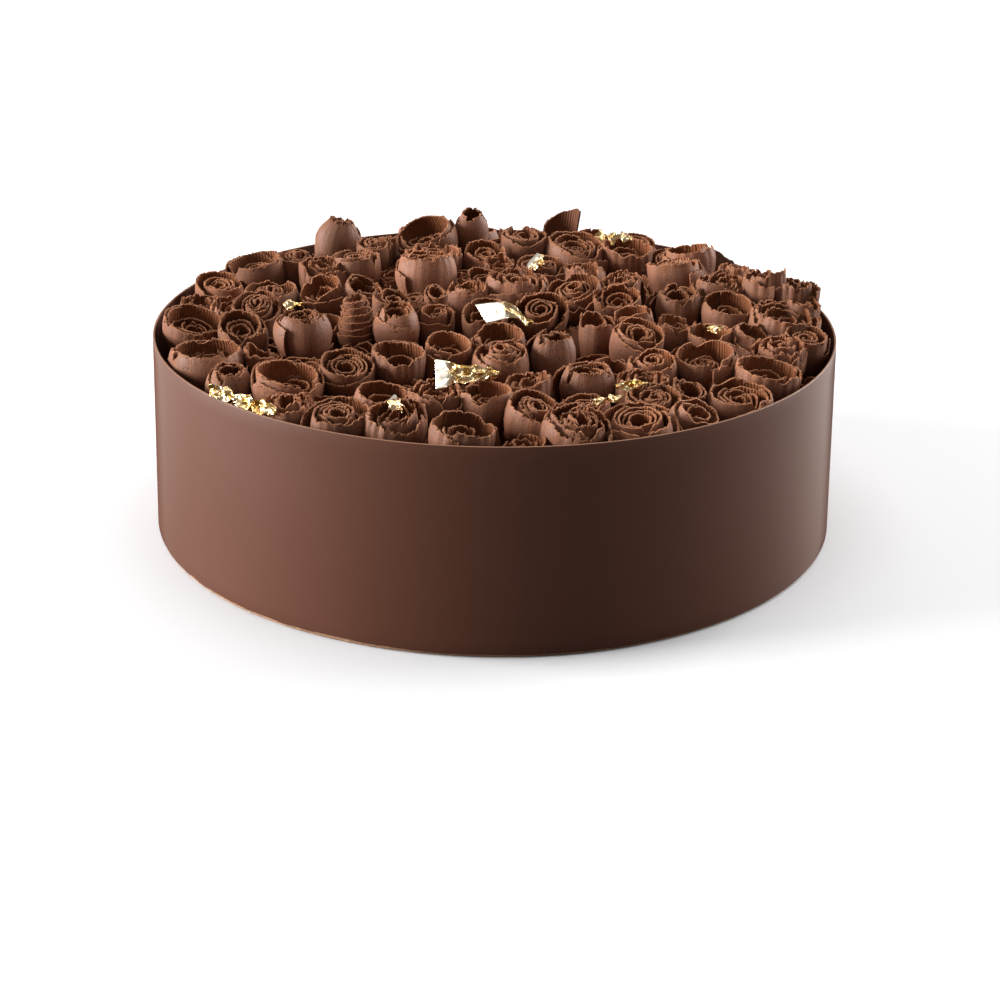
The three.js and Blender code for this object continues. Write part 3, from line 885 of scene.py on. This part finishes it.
def wallArrays(middle, half, length, rim, way):   # both faces of a sheet and the walls round its edge
    normal = way * np.cross(np.gradient(middle, axis=0), np.gradient(middle, axis=1))
    normal *= half[None, :, None] / (np.linalg.norm(normal, axis=2, keepdims=True) + 1e-9)
    columns, rows = middle.shape[:2]
    front = np.arange(columns * rows).reshape(columns, rows)
    back = front + columns * rows
    faces = [np.stack([front[:-1, :-1], front[1:, :-1], front[1:, 1:], front[:-1, 1:]], -1).reshape(-1, 4)]
    faces.append(np.stack([back[:-1, :-1], back[:-1, 1:], back[1:, 1:], back[1:, :-1]], -1).reshape(-1, 4))
    edge = np.concatenate([front[:-1, 0], front[-1, :-1], front[:0:-1, -1], front[0, :0:-1]])
    ahead = np.roll(edge, -1)
    shift = columns * rows
    faces.append(np.stack([edge, edge + shift, ahead + shift, ahead], -1))
    faces = np.concatenate(faces)
    points = np.concatenate([(middle + normal).reshape(-1, 3), (middle - normal).reshape(-1, 3)])
    marks = {
        "inner": np.repeat([0.0, 1.0], columns * rows),
        "along": np.tile(np.repeat(length, rows), 2),
        "rim": np.tile(rim.reshape(-1), 2),
    }
    return points, faces if way > 0 else faces[:, ::-1], marks


# a cone: a narrow strip wound up a blunt spire, each turn a step in from the one below
coneShape = {
    "turns": 6.6,
    "rise": 13.0,
    "width": 3.0,
    "step": 0.5,
    "rows": 5,
    "thickness": 0.6,
    "teeth": 0.22,
}


def coneStrip(radius, rng, shape=coneShape):
    span = 2 * math.pi * shape["turns"]
    angle = np.linspace(0, span, int(span * radius * 0.75 / shape["step"]))
    share = angle / span
    across = np.linspace(0, 1, shape["rows"])
    reach = radius * (1 - 0.44 * share ** 1.2) * np.sqrt(np.clip((1.02 - share) / 0.14, 0.02, 1))
    ragged = shape["teeth"] * rng.uniform(-1, 1, len(angle)) + 0.4 * softNoise(rng, angle * radius, 5)
    r = reach[:, None] - 0.6 * (1 - across) + 0.25 * softNoise(rng, angle * radius, 3)[:, None]
    z = -shape["rise"] * (1 - share)[:, None] - shape["width"] * (1 - across) + ragged[:, None] * across
    middle = np.stack([r * np.cos(angle)[:, None], r * np.sin(angle)[:, None], z], axis=2)
    rim = np.broadcast_to(shape["width"] * (1 - across), r.shape)
    return wallArrays(middle, np.full(shape["rows"], shape["thickness"] / 2), angle * radius, rim, 1)


# a shard: a curved torn piece of a strip, standing on edge; a leaf is a tall one that stands alone
shardShape = {
    "columns": 18,
    "rows": 9,
    "thickness": 0.62,
    "spread": 1.3,        # flat width for a width of 1
    "height": (6, 9),
    "bend": (3, 6),       # radius
    "point": (-0.5, 0.5),   # where its highest corner is, from -1 to 1 across it
    "fall": 0.5,          # from that corner, as a share of the height
}

leafCurl = {
    "spread": 1.35,
    "height": 17,
    "bend": 0.6,          # for a width of 1
    "point": -0.8,
    "fall": 0.16,
    # painted shade: the leaves are darker, as if in their own shadow
    "toneAndLeafShade": 0.6,
    "turnedLeftOf": 45,   # x up to which its hollow faces the front
}


def shardStrip(width, height, bend, point, fall, rng, shape=shardShape):
    u = np.linspace(-1, 1, shape["columns"])
    v = np.linspace(0, 1, shape["rows"])
    top = -height * fall * np.abs(u - point) ** 1.4 + 0.3 * rng.uniform(-1, 1, shape["columns"])
    top -= top.max()
    z = top[:, None] - (top + height)[:, None] * (1 - v)
    turn = u * width / 2 / bend
    r = bend * (1 - 0.12 * (1 - v) ** 2)
    middle = np.stack([np.sin(turn)[:, None] * r, (bend - np.cos(turn)[:, None] * r), z], axis=2)
    half = np.full(shape["rows"], shape["thickness"] / 2)
    return wallArrays(middle, half, u * width / 2, top[:, None] - z, 1)


nestedRoll = {"share": (0.55, 0.74), "depth": (2.0, 4.5)}


def curlStrips(curl, rng):
    width, radius, kind = curl["width"], curl["width"] / 2, curl["kind"]
    if kind == "leaf":
        height, bend, point, fall = (leafCurl[key] for key in ("height", "bend", "point", "fall"))
        return [shardStrip(width * leafCurl["spread"], height, width * bend, point, fall, rng)]
    if kind == "shard":
        height, bend, point = (rng.uniform(*shardShape[key]) for key in ("height", "bend", "point"))
        return [shardStrip(width * shardShape["spread"], height, bend, point, shardShape["fall"], rng)]
    if kind == "cone":
        return [coneStrip(radius, rng)]
    low = curl["top"] <= heapRule["lowTop"]
    shape = dict(stripShape, step=stripShape["lowStep"]) if low else stripShape
    strips = [rollStrip(curlKinds[kind], radius, shape, rng)]
    if kind == "cup":   # a smaller roll down inside
        nested = rollStrip(curlKinds["rose"], radius * rng.uniform(*nestedRoll["share"]), shape, rng)
        nested[0][:, 2] -= rng.uniform(*nestedRoll["depth"])
        strips.append(nested)
    return strips


def standingCurl(curl, number):
    rng = np.random.default_rng(1000 + number)
    toward = math.radians(curl["toward"])
    lean = Matrix.Rotation(math.radians(curl["lean"]), 3, Vector((-math.sin(toward), math.cos(toward), 0)))
    spin = rng.uniform(0, 2 * math.pi)
    toneAndLeafShade = rng.uniform(*heapRule["tones"])
    if curl["kind"] == "leaf":   # painted shade: the leaves are darkened as if in their own shadow; the left one has its hollow to the front
        toneAndLeafShade = leafCurl["toneAndLeafShade"]
        spin = math.pi if curl["x"] < leafCurl["turnedLeftOf"] else 0
    turn = np.array(lean @ Matrix.Rotation(spin, 3, 'Z'))
    place = np.array((curl["x"], curl["y"], curl["top"]))
    for points, faces, marks in curlStrips(curl, rng):
        marks["toneAndLeafShade"] = np.full(len(points), toneAndLeafShade)
        yield points @ turn.T + place, faces, marks


def keepInside(points, field):   # curls at the edge stop short of the band
    distance = np.hypot(points[:, 0], points[:, 1])
    points[:, :2] *= np.minimum(1, field / np.maximum(distance, 1e-6))[:, None]
    return points


curlMarks = ("inner", "along", "rim", "toneAndLeafShade")


def makeCurls(name, curls, material):
    strips = [strip for number, curl in curls for strip in standingCurl(curl, number)]
    starts = np.cumsum([0] + [len(points) for points, _, _ in strips])
    points = keepInside(np.concatenate([strip[0] for strip in strips]), heapRule["field"])
    faces = np.concatenate([strip[1] + start for strip, start in zip(strips, starts)])
    heap = meshFromArrays(name, points, faces)
    setMarks(heap, {key: np.concatenate([strip[2][key] for strip in strips]) for key in curlMarks})
    smoothShade(heap, 45)
    print(name, len(curls), "curls,", 2 * len(faces), "triangles")
    return declare(heap, name, material, "chocolate_curls")


# small rolls and shards in the gaps between the curls
gapRules = (
    {"kinds": ("rose", "torn", "tube"), "width": 8, "most": 60, "packing": 0.74, "top": (53, 58), "lean": 25},
    {"kinds": ("tube", "torn"), "width": 5.5, "most": 60, "packing": 0.72, "top": (52, 56), "lean": 30},
    {"kinds": ("shard",), "width": 6, "most": 130, "packing": 0.6, "top": (51, 57), "lean": 40},
)
gapSpread = (0.85, 1.2)   # of the widths


def fillGaps(rule, curls, rng):
    small = []
    for number in range(heapRule["seats"]):
        x, y = seatAt(number * heapRule["seatStep"] % heapRule["seats"], heapRule)
        full = len(small) == rule["most"]
        if full or not hasRoom(x, y, rule["width"], curls + small, heapRule, rule["packing"]):
            continue
        kind = rule["kinds"][rng.integers(len(rule["kinds"]))]
        width = rng.uniform(*gapSpread) * rule["width"]
        top = rng.uniform(*rule["top"]) + heapRule["rise"] * y / heapRule["field"]
        lean, toward = rng.uniform(0, rule["lean"]), rng.uniform(0, 360)
        small.append(dict(zip(curlKeys, (kind, x, y, width, top, lean, toward))))
    return small


def pieceName(curl):
    kind, y = curl["kind"], curl["y"]
    if kind == "rose":
        return "rosesFront" if y < -30 else "rosesMiddle" if y < 30 else "rosesBack"
    if kind == "torn":
        return "tornFront" if y < 0 else "tornBack"
    return {"cup": "cups", "leaf": "shards", "shard": "shards"}.get(kind, "barrels")


def groupCurls(curls):
    groups = {}
    for number, curl in enumerate(curls):
        groups.setdefault(pieceName(curl), []).append((number, curl))
    return groups


curls = layOutCurls(heapRule, shownCurls)
gapDraws = np.random.default_rng(5)
for gapRule in gapRules:
    curls += fillGaps(gapRule, curls, gapDraws)
curlSkin = curlMaterial(curlLook)
curlPieces = [makeCurls(name, members, curlSkin) for name, members in groupCurls(curls).items()]
print("curls rolled:", len(curls))


# the uppermost surface of the curls and the band, for what lies on them

shownNow = bpy.context.evaluated_depsgraph_get()
heapTrees = [BVHTree.FromObject(piece, shownNow) for piece in curlPieces + [band]]


def surfaceAt(x, y):   # height in mm; 0 where nothing stands
    hits = [tree.ray_cast(Vector((x, y, 90)) * mm, Vector((0, 0, -1)))[0] for tree in heapTrees]
    return max((hit.z / mm for hit in hits if hit), default=0)


# crumbs: chips scattered over the curls and grains along their torn edges
crumbRule = {
    "count": 420,
    "size": (0.25, 0.75),
    "field": 94,          # radius within which they lie
    "grains": 9000,
    "grainSize": (0.22, 0.55),
    "grainLow": 57,       # no grains below this height
    "stray": ((-0.2, -0.2, -0.5), (0.2, 0.2, 0.1)),   # from the edge
    "tones": (0.7, 1.2),
    "seed": 11,
}


def tornEdges(pieces, low):   # points on the upper edges, in mm
    places = []
    for piece in pieces:
        points = np.empty(3 * len(piece.data.vertices))
        piece.data.vertices.foreach_get("co", points)
        rim = np.empty(len(piece.data.vertices))
        piece.data.attributes["rim"].data.foreach_get("value", rim)
        places.append(points.reshape(-1, 3)[rim < 0.001] / mm)
    places = np.concatenate(places)
    return places[places[:, 2] > low]


def makeCrumbs(rule, edges, material):
    rng = np.random.default_rng(rule["seed"])
    chip = np.array([(1, 0, 0), (0, 1, 0), (-1, 0, 0), (0, -1, 0), (0, 0, 1), (0, 0, -1)], float)
    sides = np.array([(0, 1, 4), (1, 2, 4), (2, 3, 4), (3, 0, 4), (1, 0, 5), (2, 1, 5), (3, 2, 5), (0, 3, 5)])
    seats = []
    for _ in range(rule["count"]):
        x, y = seatAt(rng.integers(heapRule["seats"]), heapRule)
        height, size = surfaceAt(x, y), rng.uniform(*rule["size"])
        if height > 0 and math.hypot(x, y) < rule["field"]:
            seats.append((size, (x, y, height + 0.2 * size)))
    for number in rng.choice(len(edges), rule["grains"], replace=False):
        place = edges[number] + rng.uniform(*rule["stray"])
        seats.append((rng.uniform(*rule["grainSize"]), place))
    points, faces = [], []
    for size, place in seats:
        shape = chip * rng.uniform(0.5, 1, (6, 1)) * size * np.array((1, 1, 0.6))
        turn = np.array(Matrix.Rotation(rng.uniform(0, 6.28), 3, Vector(rng.normal(0, 1, 3))))
        faces.append(sides + 6 * len(points))
        points.append(shape @ turn.T + place)
    crumbs = meshFromArrays("crumbs", np.concatenate(points), np.concatenate(faces))
    tones = rng.uniform(*rule["tones"], len(points))
    marks = zip(curlMarks, (1.0, 0.0, 0.3, tones))
    setMarks(crumbs, {key: np.repeat(np.broadcast_to(value, len(points)), len(chip)) for key, value in marks})
    return declare(crumbs, "crumbs", material, "chocolate_curls")


makeCrumbs(crumbRule, tornEdges(curlPieces, crumbRule["grainLow"]), curlSkin)
print("crumbs scattered")


# gold leaf: crumpled sheets laid over the curls

goldLook = {
    "flat": srgb(250, 240, 222),   # smooth parts, near white: a painted reflection of the white light their flat faces mirror
    "colour": srgb(230, 202, 156),
    "deep": srgb(204, 158, 80),
    "patches": 330,       # per metre
    "patchLimits": (0.46, 0.62),
    "roughness": (0.2, 0.32),
}

# node number, lift, length, width, direction, tilt to the front, share that lies flat, taper, lumps, sag
goldFlakes = (
    (1, 1.6, 25, 3.7, -40, 60, 0.0, 0.0, 3, 0),
    (2, 5.5, 6.5, 3.6, 15, 40, 0.0, 0.3, 1, 0),
    (3, 0, 8.5, 4.5, -62, 35, 0.3, 0.3, 1, 0),
    (4, 0.9, 17, 9, 4, 43, 0.2, 0.75, 1, 0),
    (5, 1.2, 14, 7.5, 32, 30, 0.6, 0.3, 1, 4.2),
    (6, 1.0, 7, 6, -60, 40, 0.4, 0.3, 1, 0),
    (7, -1.7, 12, 4.5, 4, 35, 0.0, 0.0, 3, 0),
    (8, 3.0, 9, 2.2, 25, 40, 0.0, 0.0, 2, 0),
    (9, 2.4, 8.5, 2.8, 12, 40, 0.0, 0.3, 1, 0),
    (10, 0, 4.5, 3.8, 30, 40, 0.0, 0.2, 1, 0),
)

leafShape = {
    "cell": 1.4,          # between folds
    "stray": 0.3,         # of the folds, as a share of a cell
    "crumple": 0.62,
    "fold": 0.32,         # height of each finer fold, as a share of the one before
    "stiff": 0.06,        # looseness of the flat part
    "ragged": 0.22,
    "rest": 0.06,         # height over what it lies on
    "thickness": 0.05,
    "rimGrip": 1.5,       # the rim carries what reaches as near to it as this
}


def goldMaterial(look):
    material, tree, shader = newMaterial("goldLeaf")
    patch = noise(tree, objectPlace(tree), look["patches"], 2)
    colour = blendColour(tree, remap(tree, patch, *look["patchLimits"]), look["colour"], look["deep"])
    # the flat parts take the near-white colour, a painted reflection
    plug(tree, shader.inputs["Base Color"], blendColour(tree, attribute(tree, "loose"), look["flat"], colour))
    plug(tree, shader.inputs["Roughness"], remap(tree, patch, 0.3, 0.7, *look["roughness"]))
    shader.inputs["Metallic"].default_value = 1.0
    return material


def foldFiner(grid, amount, rng):   # halves the cells and folds the new points up or down
    columns, rows = grid.shape[:2]
    fine = np.zeros((2 * columns - 1, 2 * rows - 1, grid.shape[2]))
    fine[::2, ::2] = grid
    fine[1::2, ::2] = (grid[:-1] + grid[1:]) / 2
    fine[:, 1::2] = (fine[:, :-1:2] + fine[:, 2::2]) / 2
    lift = amount * rng.normal(0, 1, fine.shape[:2])
    lift[::2, ::2] = 0
    fine[..., 2] += lift * fine[..., 3]
    return fine


# x, y, height and looseness of each point
def crumpledSheet(length, width, flat, taper, lumps, sag, shape, rng):
    columns, rows = max(4, round(length / shape["cell"])), max(3, round(width / shape["cell"]))
    share, across = np.meshgrid(np.linspace(0, 1, columns + 1), np.linspace(-1, 1, rows + 1), indexing='ij')
    loose = np.where(share < flat, shape["stiff"], 1.0)
    swell = 0.35 + 0.65 * np.abs(np.sin(math.pi * lumps * share)) ** 0.4
    outline = (1 - taper * share) * np.where(share < flat, 1, swell)
    across = across * outline * (1 + shape["ragged"] * rng.normal(0, 1, (columns + 1, 1)) * loose)
    stray = shape["stray"]
    across = across + rng.uniform(-stray, stray, share.shape) * 2 / rows * loose
    across = across - sag * np.maximum(share - flat, 0)
    share = share + rng.uniform(-stray, stray, share.shape) / columns * loose
    lift = shape["crumple"] * rng.normal(0, 1, share.shape) * loose
    grid = np.stack([(share - 0.5) * length, across * width / 2, lift, loose], axis=2)
    for level in (1, 2):
        grid = foldFiner(grid, shape["crumple"] * shape["fold"] ** level, rng)
    return grid


def makeGold(flake, shape, material):
    number, lift, length, width, direction, tilt, *outline = flake
    node = "gold_leaf_%02d" % number
    low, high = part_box(node)
    rng = np.random.default_rng(70 + number)
    grid = crumpledSheet(length, width, *outline, shape, rng)
    facing = Matrix.Rotation(math.radians(direction), 3, 'Z') @ Matrix.Rotation(math.radians(tilt), 3, 'X')
    points = grid[..., :3].reshape(-1, 3) @ np.array(facing).T
    points = points + np.array((low + high) / 2 / mm) + (0, 0, lift)
    ground = np.array([surfaceAt(x, y) for x, y in points[:, :2]])
    past = np.hypot(points[:, 0], points[:, 1]) > bandShape["rimRadius"] - shape["rimGrip"]
    ground[past] = np.maximum(ground[past], bandShape["rim"])
    points[:, 2] = np.maximum(points[:, 2], ground + shape["rest"])
    corner = np.arange(len(points)).reshape(grid.shape[:2])
    quads = np.stack([corner[:-1, :-1], corner[1:, :-1], corner[1:, 1:], corner[:-1, 1:]], -1).reshape(-1, 4)
    gold = meshFromArrays(node, points, quads)
    setMarks(gold, {"loose": grid[..., 3]})
    leaf = gold.modifiers.new("leaf", 'SOLIDIFY')
    leaf.thickness = shape["thickness"] * mm
    applyModifiers(gold)
    return declare(gold, "goldLeaf%02d" % number, material, node)


leafGold = goldMaterial(goldLook)
for flake in goldFlakes:
    makeGold(flake, leafShape, leafGold)
print("gold leaf laid")


# studio: pale floor, soft light from the left and a bright sweep behind

studio = {
    "floor": (0.75, 0.75, 0.76, 1),          # as it is seen
    "floorLight": (0.16, 0.16, 0.16, 1),     # what it throws back
    "floorMirrored": (0.02, 0.02, 0.02, 1),
    "front": 0.245,       # light of the room in front of the cake
    "back": 0.5,          # and behind it
    "sweep": (-0.4, 0.5),   # where the one goes over into the other
    "softboxes": (        # name, place, aim, size in m, power in W
        ("left", (-2.4, -0.08, 0.65), (0, 0, 0.04), (1.4, 1.1), 148),
        ("right", (2.2, 1.3, 0.75), (0, 0, 0.04), (2.4, 1.4), 110),
        ("top", (0, 0.4, 2.6), (0, 0, 0.05), (2.4, 2.4), 40),
    ),
}


def addFloor(seen, bounce, mirrored):
    clearSelection()
    bpy.ops.mesh.primitive_plane_add(size=12)
    floor = bpy.context.object
    floor.name = "floor"
    material, tree, shader = newMaterial("paleFloor")
    path = tree.nodes.new("ShaderNodeLightPath").outputs
    colour = blendColour(tree, path["Is Camera Ray"], bounce, seen)
    plug(tree, shader.inputs["Base Color"], blendColour(tree, path["Is Glossy Ray"], colour, mirrored))
    shader.inputs["Roughness"].default_value = 0.8
    floor.data.materials.append(material)


def addSoftbox(name, place, aim, size, power):
    bpy.ops.object.light_add(type='AREA', location=place)
    light = bpy.context.object
    light.name = name
    light.data.shape = 'RECTANGLE'
    light.data.size, light.data.size_y = size
    light.data.energy = power
    light.rotation_euler = (Vector(aim) - Vector(place)).to_track_quat('-Z', 'Y').to_euler()


def addWorld(sweep, front, back):
    world = bpy.data.worlds.new("studio")
    bpy.context.scene.world = world
    world.use_nodes = True
    tree = world.node_tree
    background = tree.nodes["Background"]
    split = tree.nodes.new("ShaderNodeSeparateXYZ")
    tree.links.new(tree.nodes.new("ShaderNodeTexCoord").outputs["Generated"], split.inputs[0])
    light = remap(tree, split.outputs["Y"], *sweep, front, back)
    seen = tree.nodes.new("ShaderNodeLightPath").outputs["Is Camera Ray"]
    tree.links.new(maths(tree, 'MAXIMUM', seen, light), background.inputs["Strength"])
    background.inputs["Color"].default_value = (1, 1, 1, 1)


addFloor(studio["floor"], studio["floorLight"], studio["floorMirrored"])
addWorld(studio["sweep"], studio["front"], studio["back"])
for softbox in studio["softboxes"]:
    addSoftbox(*softbox)
bpy.context.scene.view_settings.view_transform = 'Standard'
print("studio lit")
